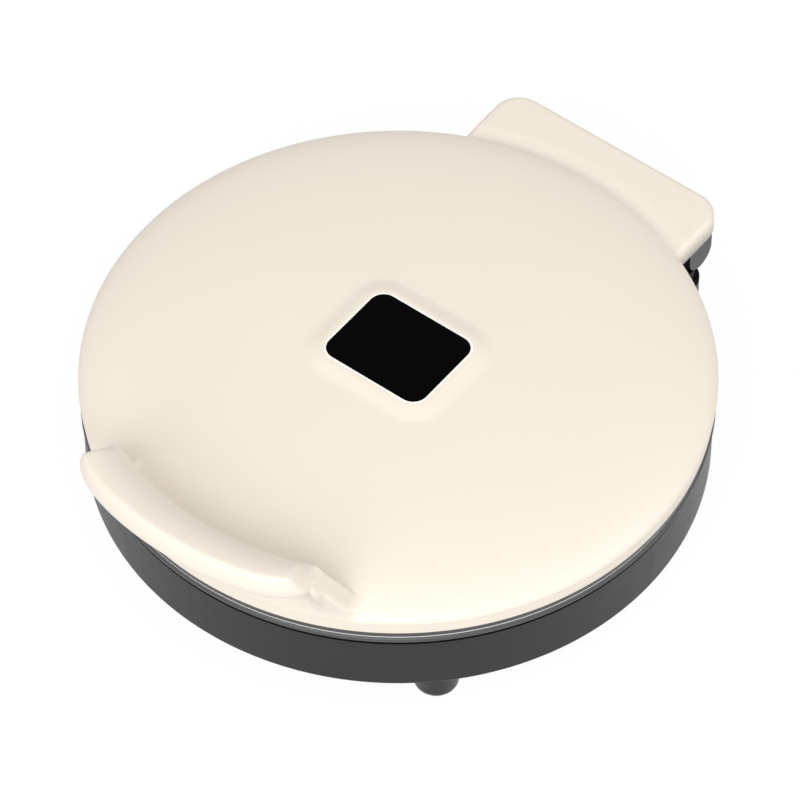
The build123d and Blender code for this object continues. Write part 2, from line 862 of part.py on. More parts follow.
with BuildPart() as hinge_arms:
    with BuildSketch(level(bracket_low)) as bracket_plan:
        with Locations((0, (bracket_front + bracket_back) / 2)):
            Rectangle(2 * bracket_half, bracket_back - bracket_front)
        fillet(bracket_plan.vertices().group_by(Axis.Y)[-1], cover_corner - lid_wall - fit_gap)
    extrude(amount=bracket_thickness)
    for side in (-1, 1):
        with BuildSketch(across(side * (arm_outer - arm_width / 2))):
            with Locations((pivot_y, pivot_z)):
                Circle(arm_radius)
            with Locations((pivot_y, (pivot_z + lip_z - fit_gap) / 2)):
                Rectangle(2 * arm_radius, lip_z - fit_gap - pivot_z)
            with Locations((pivot_y, lip_z - fit_gap + arm_radius / 2)):
                Rectangle(2 * arm_radius, arm_radius, mode=Mode.SUBTRACT)
        extrude(amount=arm_width / 2, both=True)
        with BuildSketch(across(side * (arm_outer - arm_width + bracket_half) / 2)):
            with Locations(((root_front + root_back) / 2, (root_low + root_high) / 2)):
                Rectangle(root_back - root_front, root_high - root_low)
        extrude(amount=(bracket_half - arm_outer + arm_width) / 2, both=True)
    with BuildSketch(across(-shaft_half - fit_gap)):
        with Locations((pivot_y, pivot_z)):
            Circle(shaft_radius + shaft_gap)
    extrude(amount=2 * (shaft_half + fit_gap), mode=Mode.SUBTRACT)
    with BuildSketch(level(bracket_low)):
        with Locations([(x, bracket_boss_y) for x in bracket_boss_x]):
            Circle(small_screw_radius + screw_gap)
    extrude(amount=bracket_thickness, mode=Mode.SUBTRACT)
    with BuildSketch(level(bracket_low)):
        with Locations([(x, bracket_boss_y) for x in bracket_boss_x]):
            Circle(recess_radius)
    extrude(amount=recess_depth, mode=Mode.SUBTRACT)
hinge_arms.part.label = "hinge_arms"
export_step(hinge_arms.part, "parts/hinge_arms.step")

# Mains inlet
terminal_place = (-56.0, leg_end + 4.0)
block_length = 24.0
block_depth = 12.0
block_height = lower_element_z - element_gap - base_floor
terminal_pitch = 8.0
terminal_radius = 2.2
terminal_depth = 5.0

with BuildPart() as cord_grommet:
    with BuildSketch(gland_plane):
        Circle(gland_radius + gland_flange)
    extrude(amount=gland_flange)
    with BuildSketch(gland_plane):
        Circle(gland_radius - shaft_gap)
    extrude(amount=-gland_depth)
    with BuildSketch(gland_plane.offset(-gland_depth)):
        Circle(gland_radius + gland_lip)
    extrude(amount=-gland_lip_depth)
    with BuildSketch(gland_plane.offset(gland_flange)):
        Circle(lead_radius)
    extrude(amount=-(gland_flange + gland_depth + gland_lip_depth), mode=Mode.SUBTRACT)
cord_grommet.part.label = "cord_grommet"
export_step(cord_grommet.part, "parts/cord_grommet.step")

with BuildPart() as terminal_block:
    with BuildSketch(level(base_floor)):
        with Locations(terminal_place):
            Rectangle(block_length, block_depth)
    extrude(amount=block_height)
    with BuildSketch(level(base_floor + block_height)):
        with Locations(terminal_place):
            with GridLocations(terminal_pitch, 0, 3, 1):
                Circle(terminal_radius)
    extrude(amount=-terminal_depth, mode=Mode.SUBTRACT)
terminal_block.part.label = "terminal_block"
export_step(terminal_block.part, "parts/terminal_block.step")

# Wiring, from the inlet to the lower element and from the hinge to the upper one
wire_bend = 3.0
pin_end = leg_end + pin_length
routes = {
    "base_wiring": (
        lower_element_z,
        [(-43, leg_end + 2), (-25, leg_end + 15), (-leg_x, leg_end + 15), (-leg_x, pin_end)],
        [(-43, leg_end + 7), (-30, leg_end + 21), (leg_x, leg_end + 21), (leg_x, pin_end)],
    ),
    "lid_wiring": (
        upper_element_z,
        [
            (-60, pivot_y + 4),
            (-56, pivot_y - 8),
            (-30, leg_end + 20),
            (-leg_x, leg_end + 16),
            (-leg_x, pin_end),
        ],
        [
            (-56, pivot_y + 6),
            (-50, pivot_y - 6),
            (-26, leg_end + 26),
            (leg_x, leg_end + 22),
            (leg_x, pin_end),
        ],
    ),
}
for name, (height, *wires) in routes.items():
    with BuildPart() as wiring:
        for route in wires:
            with BuildLine(level(height)) as wire_path:
                FilletPolyline(*route, radius=wire_bend)
            with BuildSketch(Plane(origin=wire_path.line @ 0, z_dir=wire_path.line % 0)):
                Circle(wire_radius)
            sweep(path=wire_path.line)
    wiring.part.label = name
    export_step(wiring.part, f"parts/{name}.step")
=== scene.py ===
"""Electric baking pan: visible shell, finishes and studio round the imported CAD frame.

Laid out as an add-on. Sizes are in metres in the frame of the CAD: +Z is up, the handle is
at -Y and the hinge at +Y. Heights of the lid are measured from its lip, and radii from the
pan's axis. Bearings are angles round that axis from the front, towards +X. A section is a
line of points at one bearing, each with its radius and its height.
"""

from bisect import bisect
from math import atan2, cos, hypot, pi, radians, sin, sqrt, tau

import bmesh
import bpy
from bpy.props import FloatProperty, FloatVectorProperty, IntProperty, PointerProperty
from mathutils import Matrix, Vector
from mathutils.geometry import interpolate_bezier


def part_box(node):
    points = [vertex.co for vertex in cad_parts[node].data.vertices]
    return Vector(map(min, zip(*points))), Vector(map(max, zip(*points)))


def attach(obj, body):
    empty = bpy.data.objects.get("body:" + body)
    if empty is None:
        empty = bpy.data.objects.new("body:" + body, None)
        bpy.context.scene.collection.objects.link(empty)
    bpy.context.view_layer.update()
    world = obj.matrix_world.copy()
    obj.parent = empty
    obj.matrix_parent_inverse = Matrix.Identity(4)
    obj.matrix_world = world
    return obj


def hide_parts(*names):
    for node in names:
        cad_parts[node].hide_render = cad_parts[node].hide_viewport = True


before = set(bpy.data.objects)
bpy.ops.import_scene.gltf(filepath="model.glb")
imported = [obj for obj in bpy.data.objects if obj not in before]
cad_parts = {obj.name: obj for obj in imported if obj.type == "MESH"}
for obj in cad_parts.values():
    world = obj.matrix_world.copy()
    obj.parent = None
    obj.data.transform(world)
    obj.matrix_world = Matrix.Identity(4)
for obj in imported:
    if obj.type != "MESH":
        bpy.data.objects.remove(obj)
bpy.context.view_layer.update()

bl_info = {
    "name": "Electric Baking Pan",
    "version": (1, 0, 0),
    "blender": (4, 5, 0),
    "location": "View3D > Sidebar > Baking Pan",
    "description": "Builds the lid, the finishes and the studio of a round electric baking pan",
    "category": "Object",
}

MM = 0.001
TINY = 1e-9
AXIS_Y = sum(corner.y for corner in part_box("lower_plate")) / 2
LIP_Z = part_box("lid_housing")[0].z


def mm(*values):
    """A vector whose parts are given in millimetres."""
    return Vector([value * MM for value in values])


def written(red, green, blue):
    """Scene colour of an eight-bit screen colour."""
    parts = [part / 255 for part in (red, green, blue)]
    return tuple(
        part / 12.92 if part <= 0.04045 else ((part + 0.055) / 1.055) ** 2.4 for part in parts
    )


def between(ends, share):
    """The value at a share of the way from the first of two ends to the second."""
    return ends[0] + (ends[1] - ends[0]) * share


def smooth_step(low, high, value):
    """Rises from 0 at low to 1 at high with level ends."""
    share = min(max((value - low) / (high - low), 0), 1)
    return share * share * (3 - 2 * share)


def above(value, width=0.07):
    """The value above 0 and nearly 0 below it, with a rounded corner."""
    return (value + hypot(value, width)) / 2


def straight_step(value, width=0.07):
    """Rises in a straight line from 0 at 0 to 1 at 1, with rounded corners."""
    return above(value, width) - above(value - 1, width)


def length(name, text, value):
    """A size in metres, given in millimetres."""
    return FloatProperty(
        name=name, description=text, default=value * MM, unit="LENGTH", precision=5
    )


def bearing(name, text, value):
    """An angle round the pan's axis or over the horizon, given in degrees."""
    return FloatProperty(
        name=name, description=text, default=radians(value), subtype="ANGLE", unit="ROTATION"
    )


def colour(name, text, *value):
    """A colour, given as it looks on a screen."""
    return FloatVectorProperty(
        name=name, description=text, default=written(*value), subtype="COLOR", size=3, min=0, max=1
    )


def amount(name, text, value, unit="NONE"):
    """A plain number, or one in a unit of its own."""
    return FloatProperty(name=name, description=text, default=value, min=0, unit=unit)


class LidSizes(bpy.types.PropertyGroup):
    """Sizes of the domed lid."""

    radius: length("Radius", "Radius of the flange", 171)
    lip_radius: length("Lip Radius", "Radius at the lip", 170)
    crown_height: length("Crown Height", "Height of the middle of the dome", 26)
    crown_flat: length("Crown Flat", "Radius up to which the dome stays nearly flat", 110)
    shoulder_height: length("Shoulder Height", "Height that the dome's curve aims at", 21)
    flange_height: length("Flange Height", "Height of the upright band at the rim", 8.5)
    flange_step: length("Flange Step", "Depth of the faint step over the band", 0.25)
    wall: length("Wall", "Thickness of the moulding", 2.5)
    columns: IntProperty(name="Columns", description="Steps round the lid", default=420, min=60)


class SeatSizes(bpy.types.PropertyGroup):
    """Sizes of the raised seat round the panel."""

    width: length("Width", "Width of the panel's opening", 64.8)
    depth: length("Depth", "Depth of the panel's opening, front to back", 53.4)
    corner: length("Corner", "Corner radius of the opening", 8.55)
    top: length("Top", "Height of the seat", 28.3)
    pocket: length("Pocket", "Depth of the opening", 1.6)
    bead: length("Bead", "Width of the polished bead round the opening", 0.75)
    bead_height: length("Bead Height", "Height of the bead's rounding", 0.25)
    flat: length("Flat", "Width of the level top round the opening", 1.2)
    spread: length("Spread", "Distance over which the seat blends into the dome", 13)


class HandleSizes(bpy.types.PropertyGroup):
    """Sizes of the upswept front handle."""

    crest_radius: length("Crest Radius", "Radius of the ridge", 168)
    crest_height: length("Crest Height", "Height of the ridge", 48)
    ridge_back: length("Ridge Back", "Where the ridge's rounding starts, behind it", 1.1)
    ridge_front: length("Ridge Front", "Where the ridge's rounding ends, before it", 0.8)
    foot_inset: length("Foot Inset", "Distance of the hollow's foot behind the ridge", 4)
    foot_drop: length("Foot Drop", "Depth of the hollow's foot under the ridge", 21.6)
    reach: length("Reach", "Distance of the front's upper edge from the ridge", 26.8)
    rise: length("Rise", "Height of the front's upper edge over the ridge", 16)
    nose: length("Nose", "Height of the rounded front", 16.7)
    half_angle: bearing("Half Angle", "Bearing of the nose's ends", 23.2)
    ramp_start: bearing("Ramp Start", "Bearing where the ridge starts to fall", 23.5)
    ramp_foot: bearing("Ramp Foot", "Bearing where the ridge reaches the dome", 29.1)
    ramp_end: bearing("Ramp End", "Bearing where the handle has sunk into the dome", 32.5)
    ramp_fall: length("Ramp Fall", "Height of the ridge over the dome", 31)
    ramp_inset: length("Ramp Inset", "Distance by which the ridge runs in down the ramp", 8)
    crease_radius: length("Crease Radius", "Radius of the ramp's back at its top", 152.2)
    crease_run: length("Crease Run", "Distance by which the ramp's back runs out", 5.2)
    end_radius: length("End Radius", "Radius of the outer edge of the ramps", 178.4)
    end_flare: length("End Flare", "Flare of that edge at the top of the ramp", 4)
    end_run: length("End Run", "Distance by which that edge runs in down the ramp", 10)
    end_nose: length("End Nose", "Height of the rounded edge down the ramp", 3.5)
    root: amount("Root", "Place on the dome's curve where the handle starts", 0.65)


class CoverSizes(bpy.types.PropertyGroup):
    """Sizes of the cover over the hinge."""

    half_width: length("Half Width", "Half of the cover's width", 72.5)
    rear: length("Rear", "Distance of the rear wall from the pan's axis", 199)
    corner: length("Corner", "Corner radius seen from above", 16)
    height: length("Height", "Height of the flat top", 12.4)
    edge: length("Edge", "Radius of the rounded rim", 3.6)
    blend: length("Blend", "Distance from the flange at which the top is flat", 10)
    start: amount("Start", "Place on the dome's curve where the valley starts", 0.86)
    wall: length("Wall", "Thickness of the moulding", 2.5)


class Colours(bpy.types.PropertyGroup):
    """Colours of the mouldings."""

    cream: colour("Cream", "Lid", 241, 231, 216)
    # The bead's colour is lighter than the cream: a painted highlight along the bead's rounding
    # round the panel.
    bead: colour("Bead", "Polished bead round the panel", 255, 252, 244)
    charcoal: colour("Charcoal", "Base and feet", 28, 28, 28)
    trim: colour("Trim", "Ring under the lid", 66, 66, 66)
    coating: colour("Coating", "Cooking plates", 74, 74, 74)
    panel: colour("Panel", "Gloss panel", 3, 2, 3)
    arm: colour("Arm", "Hinge arms", 57, 57, 58)
    block: colour("Block", "Sliding hinge block", 16, 16, 17)


class StudioSettings(bpy.types.PropertyGroup):
    """Camera, light and floor."""

    azimuth: bearing("Azimuth", "Camera's bearing from the front", 37.55)
    elevation: bearing("Elevation", "Camera's height over the horizon", 50.34)
    distance: amount("Distance", "Camera's distance from the lid", 3.424, "LENGTH")
    lens: amount("Lens", "Focal length", 288.57, "CAMERA")
    aim_right: length("Aim Right", "Distance of the aim to the right of the pan's axis", 0.37)
    aim_down: length("Aim Down", "Distance of the aim below the lip's middle", 9.545)
    key_power: amount("Key Power", "Power of the key lamp", 11, "POWER")
    key_size: amount("Key Size", "Width of the key lamp", 0.9, "LENGTH")
    key_azimuth: bearing("Key Azimuth", "Bearing of the key lamp from the front", 44)
    key_elevation: bearing("Key Elevation", "Height of the key lamp over the horizon", 35)
    fill_power: amount("Fill Power", "Power of the fill lamp", 23, "POWER")
    fill_size: amount("Fill Size", "Width of the fill lamp", 1.6, "LENGTH")
    fill_azimuth: bearing("Fill Azimuth", "Bearing of the fill lamp from the front", 12)
    fill_elevation: bearing("Fill Elevation", "Height of the fill lamp over the horizon", 30)
    side_power: amount("Side Power", "Power of the side lamp", 10, "POWER")
    side_size: amount("Side Size", "Width of the side lamp", 1.8, "LENGTH")
    side_azimuth: bearing("Side Azimuth", "Bearing of the side lamp from the front", 110)
    side_elevation: bearing("Side Elevation", "Height of the side lamp over the horizon", 35)
    lamp_distance: amount("Lamp Distance", "Distance of the lamps from the lid", 2.4, "LENGTH")
    sky: amount("Sky", "Strength of the even light all round", 0.66)
    floor_grey: amount("Floor Grey", "Share of the light that the floor throws back", 0.55)
    floor_glow: amount("Floor Glow", "Strength of the white that is laid over the floor", 1.1)
    floor_veil: amount("Floor Veil", "Share of that white over the floor's shadow", 0.85)


class BakingPan(bpy.types.PropertyGroup):
    """Everything that a user may change."""

    lid: PointerProperty(type=LidSizes)
    seat: PointerProperty(type=SeatSizes)
    handle: PointerProperty(type=HandleSizes)
    cover: PointerProperty(type=CoverSizes)
    colours: PointerProperty(type=Colours)
    studio: PointerProperty(type=StudioSettings)


# Form of the lid


class LidForm:
    """Outside of the lid: crown, panel seat and handle, as rows of points of a section."""

    dome_points = 1200

    # Rows from the middle to the flange. The seat's rows are given by their distances in
    # millimetres from the panel's outline. The first of them lie on the pocket's floor, and
    # the glossy finish with its painted highlight, a colour lighter than the cream, ends at
    # bead_end. The crown's rows are round from crown_round of the way on.
    seat_offsets = (-12, -3, -0.4, 0, 0, 0.08, 0.22, 0.42, 0.62, 0.75, 1.3, 2.2)
    pocket_rows = 4
    bead_end = 1.3
    skirt_rows = 16
    crown_rows = 24
    crown_round = 0.6
    handle_rows = (14, 7, 7, 16, 13, 16)
    bead_power = 1.5

    # Places down the ramp, from 0 at its top to 1 at its foot: where the hollow behind the
    # ridge closes, where the outer edge loses its flare and where it starts to run in
    hollow_span = (-0.2, 0.6)
    flare_span = (0.08, 0.32)
    run_start = 0.07

    # Bluntness of the nose's ends, rounding of its slope, and the share of its height that
    # goes with that slope
    wing_power = 6
    nose_round = 0.12
    nose_share = 0.978

    # Directions of the handle's curves where they meet, and how far the curves keep to them.
    # The first of a pair is for the handle's ends and the second for its middle.
    top_ways = (Vector((1, 0)), Vector((0.6, 0.8)))
    under_ways = (Vector((-0.25, -0.97)), Vector((-0.99, -0.147)))
    bead_way = Vector((1, 0.05))
    front_tilt = 0.15
    end_tilt = 0.1
    root_pull = (3 * MM, 9 * MM)
    foot_pull = (2 * MM, 7 * MM)
    face_pull = 0.6 * MM
    bead_pull = 0.5 * MM
    front_pull = (1.5 * MM, 2.6 * MM)
    low_pull = (1.5 * MM, 8.8 * MM)
    low_shift = (1.5 * MM, -1 * MM)
    top_share = 0.4
    under_share = (0.27, 0.377)
    flange_share = (0.38, 0.54)

    # Angle behind the ramps that shares their close columns
    ramp_margin = radians(2)

    def __init__(self, pan):
        self.lid, self.seat, self.handle = pan.lid, pan.seat, pan.handle
        lid = self.lid
        self.curve = (
            Vector((0, lid.crown_height)),
            Vector((lid.crown_flat, lid.crown_height)),
            Vector((lid.radius, lid.shoulder_height)),
            Vector((lid.radius, lid.flange_height)),
        )
        self.dome = interpolate_bezier(*self.curve, self.dome_points)
        self.dome_radii = [point.x for point in self.dome]
        self.root, self.root_way = self.dome_at(self.handle.root)
        self.rows = self._rows()

    def dome_at(self, share):
        """Point of the dome's curve at a share of its length, and its direction there."""
        index = round(share * (len(self.dome) - 1))
        return self.dome[index], (self.dome[index + 1] - self.dome[index - 1]).normalized()

    def crown_height(self, radius):
        """Height of the dome at a radius."""
        index = min(max(bisect(self.dome_radii, radius), 1), len(self.dome) - 1)
        low, high = self.dome[index - 1], self.dome[index]
        return low.lerp(high, (radius - low.x) / (high.x - low.x)).y

    def seat_outline(self, angle, offset):
        """Radius at a bearing of the panel's outline, moved outwards by an offset."""
        across, along = abs(sin(angle)), abs(cos(angle))
        half_width = self.seat.width / 2 + offset
        half_depth = self.seat.depth / 2 + offset
        corner = max(self.seat.corner + offset, 0)
        side = half_width / max(across, TINY)
        if along * side <= half_depth - corner:
            return side
        end = half_depth / max(along, TINY)
        if across * end <= half_width - corner:
            return end
        centre = Vector((half_width - corner, half_depth - corner))
        reach = across * centre.x + along * centre.y
        return reach + sqrt(max(reach * reach - centre.length_squared + corner * corner, 0))

    def seat_height(self, radius, offset):
        """Height of the seat at a radius and a distance from the panel's outline."""
        seat = self.seat
        if offset < seat.bead:
            hollow = (1 - sin(pi * max(offset, 0) / seat.bead)) ** self.bead_power
            return seat.top - seat.bead_height * hollow
        proud = seat.top - self.lid.crown_height
        return self.crown_height(radius) + proud * (1 - smooth_step(seat.flat, seat.spread, offset))

    def _rows(self):
        """Kind of each row, its place, and the share or height that goes with it."""
        seat = self.seat
        floor = seat.top - seat.pocket
        rows = [
            ("seat", offset * MM, floor if index < self.pocket_rows else None)
            for index, offset in enumerate(self.seat_offsets)
        ]
        skirt = (self.seat_offsets[-1] * MM, seat.spread)
        for step in range(1, self.skirt_rows + 1):
            rows.append(("seat", between(skirt, step / self.skirt_rows), None))
        for step in range(1, self.crown_rows + 1):
            rows.append(("crown", seat.spread, step / self.crown_rows))
        return rows + [("handle", index, None) for index in range(sum(self.handle_rows))]

    def lift(self, angle):
        """Share of the handle's section at a bearing."""
        return 1 - smooth_step(self.handle.ramp_foot, self.handle.ramp_end, abs(angle))

    def wing(self, angle):
        """Share of the nose's full reach at a bearing, which falls off round its ends."""
        return sqrt(max(0, 1 - (abs(angle) / self.handle.half_angle) ** self.wing_power))

    def handle_section(self, angle):
        """Section of the handle at a bearing, from the dome over ridge and nose to the flange."""
        handle, flange = self.handle, self.curve[3]
        fall = (abs(angle) - handle.ramp_start) / (handle.ramp_foot - handle.ramp_start)
        rise = straight_step(-fall * handle.ramp_fall / handle.rise, self.nose_round)
        reach = self.wing(angle)
        grip = 1 - smooth_step(*self.hollow_span, fall)

        crest = Vector((handle.crest_radius, handle.crest_height))
        inset = handle.ramp_inset * smooth_step(0, 1, fall)
        ridge = crest - Vector((inset, handle.ramp_fall * straight_step(fall)))
        crease = handle.crease_radius + handle.crease_run * fall
        foot = Vector((crease, self.crown_height(crease)))
        foot = foot.lerp(crest - Vector((handle.foot_inset, handle.foot_drop)), grip)
        face_way = (ridge - foot).normalized()
        foot_way = self.root_way.lerp(face_way, grip).normalized()
        face_top = ridge - face_way * handle.ridge_back
        face_third = (face_top - foot) / 3
        top = ridge + self.bead_way * handle.ridge_front

        flare = handle.end_flare * (1 - smooth_step(*self.flare_span, fall))
        end = handle.end_radius + flare - handle.end_run * above(fall - self.run_start)
        front_radius = between((end, crest.x + handle.reach), reach)
        front = Vector((front_radius, ridge.y + handle.rise * rise))
        height = hypot(handle.end_nose, self.nose_share * handle.nose * rise)
        low = front + Vector((between(self.low_shift, reach), -height))
        deep = low.y - flange.y
        span = self.top_share * (front - top).length
        top_way = between(self.top_ways, rise)
        tilt = self.front_tilt * rise - self.end_tilt * (1 - reach)
        front_way = Vector((1, tilt)).normalized()
        under_way = between(self.under_ways, reach).normalized()
        flange_pull = Vector((0, -between(self.flange_share, reach) * deep))

        curves = (
            (self.root, self.root_way * between(self.root_pull, grip),
             foot_way * between(self.foot_pull, grip), foot),
            (foot, face_third, face_third, face_top),
            (face_top, face_way * self.face_pull, self.bead_way * self.bead_pull, top),
            (top, top_way * span, front_way * span, front),
            (front, front_way * between(self.front_pull, reach),
             under_way * between(self.low_pull, reach), low),
            (low, under_way * between(self.under_share, reach) * deep, flange_pull, flange),
        )
        points = []
        for (start, leaving, arriving, stop), count in zip(curves, self.handle_rows):
            curve = interpolate_bezier(start, start + leaving, stop - arriving, stop, count + 1)
            points += curve[1:]
        return points

    def plain_section(self):
        """The dome's own curve over the rows that become the handle at the front."""
        count, last = sum(self.handle_rows), len(self.dome) - 1
        start = self.handle.root
        return [
            self.dome[round(last * (start + (1 - start) * step / count))]
            for step in range(1, count + 1)
        ]

    def point(self, row, angle, section):
        """Radius and height of a row at a bearing."""
        kind, place, extra = self.rows[row]
        if kind == "handle":
            return section[place]
        radius = self.seat_outline(angle, place)
        if kind == "seat":
            return Vector((radius, self.seat_height(radius, place) if extra is None else extra))
        ring = between((place + self.seat.width / 2, self.root.x), extra)
        inside = between((radius, self.root.x), extra)
        radius = between((inside, ring), smooth_step(0, self.crown_round, extra))
        return Vector((radius, self.crown_height(radius)))

    def station(self, step):
        """Bearing of a column: close together round the handle's ends, even behind them."""
        columns, nose_end = self.lid.columns, self.handle.half_angle
        turn = step if step <= columns / 2 else step - columns
        side = -1 if turn < 0 else 1
        turn = abs(turn)
        nose, ramp = columns / 6, columns / 4
        edge = self.handle.ramp_end + self.ramp_margin
        if turn <= nose:
            return side * nose_end * sin(pi / 2 * turn / nose)
        if turn <= ramp:
            return side * between((nose_end, edge), (turn - nose) / (ramp - nose))
        return side * between((edge, pi), (turn - ramp) / (columns / 2 - ramp))


def placed(radius, height, angle):
    """Point at a radius, a height over the lip and a bearing."""
    return Vector((radius * sin(angle), AXIS_Y - radius * cos(angle), LIP_Z + height))


def drawn_line(shape, points, angle):
    """Vertices and edges of a section at a bearing."""
    vertices = [shape.verts.new(placed(point.x, point.y, angle)) for point in points]
    return vertices, [shape.edges.new(pair) for pair in zip(vertices, vertices[1:])]


def spun(shape, line, angle, steps):
    """Spins a line about the pan's axis, and closes a full turn."""
    bmesh.ops.spin(
        shape, geom=line, cent=(0, AXIS_Y, 0), axis=(0, 0, 1), dvec=(0, 0, 0),
        angle=angle, steps=steps, use_merge=angle == tau, use_duplicate=False,
    )


def add_pillar(shape, x, y, heights, radii):
    """Adds a tapered pillar between two heights over the lip."""
    low, high = heights
    bmesh.ops.create_cone(
        shape, cap_ends=True, segments=28, radius1=radii[0], radius2=radii[1], depth=high - low,
        matrix=Matrix.Translation((x, y, LIP_Z + (low + high) / 2)),
    )


def finished(name, shape, body, materials, replaced):
    """Turns a bmesh into a smooth piece that rides on a body and replaces CAD nodes."""
    bmesh.ops.recalc_face_normals(shape, faces=shape.faces)
    for face in shape.faces:
        face.smooth = True
    mesh = bpy.data.meshes.new(name)
    shape.to_mesh(mesh)
    shape.free()
    piece = bpy.data.objects.new(name, mesh)
    bpy.context.scene.collection.objects.link(piece)
    for material in materials:
        mesh.materials.append(material)
    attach(piece, body)
    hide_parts(*replaced)


# Finishes


class Signal:
    """A socket's value, which takes part in sums by adding Math nodes."""

    def __init__(self, nodes, socket):
        self.nodes, self.socket = nodes, socket

    def _math(self, operation, *values):
        settings = {"operation": operation}
        return self.nodes.add("ShaderNodeMath", settings, dict(enumerate(values)))

    def __add__(self, other):
        return self._math("ADD", self, other)

    def __sub__(self, other):
        return self._math("SUBTRACT", self, other)

    def __rsub__(self, other):
        return self._math("SUBTRACT", other, self)

    def __mul__(self, other):
        return self._math("MULTIPLY", self, other)

    __radd__ = __add__
    __rmul__ = __mul__

    def root(self):
        """Square root."""
        return self._math("SQRT", self)

    def ramp(self, low, high):
        """0 below low, 1 above high, with level ends."""
        settings = {"interpolation_type": "SMOOTHSTEP"}
        inputs = {"Value": self, "From Min": low, "From Max": high}
        return self.nodes.add("ShaderNodeMapRange", settings, inputs)


class Nodes:
    """Nodes of a material or of the world, added one call at a time."""

    def __init__(self, owner):
        owner.use_nodes = True
        self.tree = owner.node_tree

    def fill(self, node, inputs):
        """Sets or links sockets of a node. A colour is given without its alpha."""
        for name, value in inputs.items():
            socket = node.inputs[name]
            if isinstance(value, Signal):
                self.tree.links.new(value.socket, socket)
            elif socket.type == "RGBA":
                socket.default_value = (*value, 1)
            else:
                socket.default_value = value

    def add(self, kind, settings=None, inputs=None, output=0):
        """Adds a node: its settings first, then values or links of its sockets."""
        node = self.tree.nodes.new(kind)
        for name, value in (settings or {}).items():
            setattr(node, name, value)
        self.fill(node, inputs or {})
        return Signal(self, node.outputs[output])

    def seen(self):
        """1 for rays that show the background, and 0 for rays that light the object."""
        camera, glossy, through = [
            self.add("ShaderNodeLightPath", output=f"Is {kind} Ray")
            for kind in ("Camera", "Glossy", "Transmission")
        ]
        settings = {"operation": "ADD", "use_clamp": True}
        return self.add("ShaderNodeMath", settings, {0: camera + glossy, 1: through})


class Finish(Nodes):
    """A material, with its patterns in object coordinates."""

    def __init__(self, name):
        self.material = bpy.data.materials.new(name)
        super().__init__(self.material)
        self.shader = self.tree.nodes["Principled BSDF"]
        self.place = self.add("ShaderNodeTexCoord", output="Object")

    def surface(self, **values):
        """Sets or links the shader's sockets, named with _ for a space."""
        self.fill(self.shader, {name.replace("_", " "): value for name, value in values.items()})

    def noise(self, scale, detail=2, roughness=0.5, vector=None):
        """Soft noise from 0 to 1 with features of about 1 / scale metres."""
        inputs = {
            "Vector": vector or self.place, "Scale": scale, "Detail": detail, "Roughness": roughness
        }
        return self.add("ShaderNodeTexNoise", None, inputs)

    def stretched(self, *scale):
        """Object coordinates drawn out along an axis."""
        return self.add("ShaderNodeMapping", None, {"Vector": self.place, "Scale": scale})

    def part(self, axis):
        """One coordinate of the place."""
        return self.add("ShaderNodeSeparateXYZ", None, {"Vector": self.place}, output=axis)

    def radius(self):
        """Distance from the pan's axis."""
        x, y = self.part("X"), self.part("Y") - AXIS_Y
        return (x * x + y * y).root()

    def mix(self, share, first, second):
        """Colour between two colours, which are the Mix node's sockets 6 and 7."""
        inputs = {"Factor": share, 6: first, 7: second}
        return self.add("ShaderNodeMix", {"data_type": "RGBA"}, inputs, output=2)

    def bump(self, height, depth):
        """Normal of a fine relief, whose depth is in millimetres."""
        return self.add("ShaderNodeBump", None, {"Height": height, "Distance": depth * MM})


def lit(shade, factor):
    """A colour with more or less light, up to white."""
    return tuple(min(part * factor, 1) for part in shade)


def moulded(name, shade, roughness, grain, depth, level=0.5):
    """Moulded plastic: faint flow marks, fine spark-eroded grain, and rub marks in its gloss."""
    finish = Finish(name)
    flow = finish.noise(26, detail=3, vector=finish.stretched(1, 1, 2.5))
    rub = finish.noise(190, detail=4, roughness=0.62, vector=finish.stretched(1, 0.35, 1))
    finish.surface(
        Base_Color=finish.mix(flow, lit(shade, 0.95), lit(shade, 1.05)),
        Roughness=roughness - 0.05 + flow * 0.04 + rub.ramp(0.35, 0.75) * 0.06,
        Normal=finish.bump(finish.noise(grain), depth),
        Specular_IOR_Level=level,
    )
    return finish


def cream_plastic(name, shade):
    """Satin cream plastic of the lid, a touch glossier where hands polish the handle."""
    finish = Finish(name)
    flow = finish.noise(14, detail=3)
    rub = finish.noise(120, detail=5, roughness=0.6, vector=finish.stretched(1, 0.4, 1))
    palm_low, palm_high = LIP_Z + 28 * MM, LIP_Z + 61 * MM
    handled = finish.part("Z").ramp(palm_low, palm_high)
    finish.surface(
        Base_Color=finish.mix(flow, lit(shade, 0.988), lit(shade, 1.012)),
        Roughness=0.36 + flow * 0.03 + rub.ramp(0.4, 0.8) * 0.05 - handled * 0.04,
        Normal=finish.bump(finish.noise(2600), 0.004),
    )
    return finish


def polished_bead(name, shade):
    """Glossy cream bead round the panel, coloured lighter than the cream as a painted highlight
    along its rounding.
    """
    finish = Finish(name)
    flow = finish.noise(60)
    finish.surface(
        Base_Color=finish.mix(flow, lit(shade, 0.985), shade),
        Roughness=0.16 + flow * 0.06,
        Normal=finish.bump(finish.noise(900), 0.003),
    )
    return finish


def gloss_panel(name, shade):
    """Deep gloss black, with faint wiping marks."""
    finish = Finish(name)
    wipe = finish.noise(90, detail=4, roughness=0.65, vector=finish.stretched(1, 0.15, 1))
    finish.surface(
        Base_Color=finish.mix(finish.noise(35), shade, lit(shade, 1.5)),
        Roughness=0.12 + wipe.ramp(0.45, 0.85) * 0.1,
        Normal=finish.bump(finish.noise(260), 0.002),
        Specular_IOR_Level=0.02,
    )
    return finish


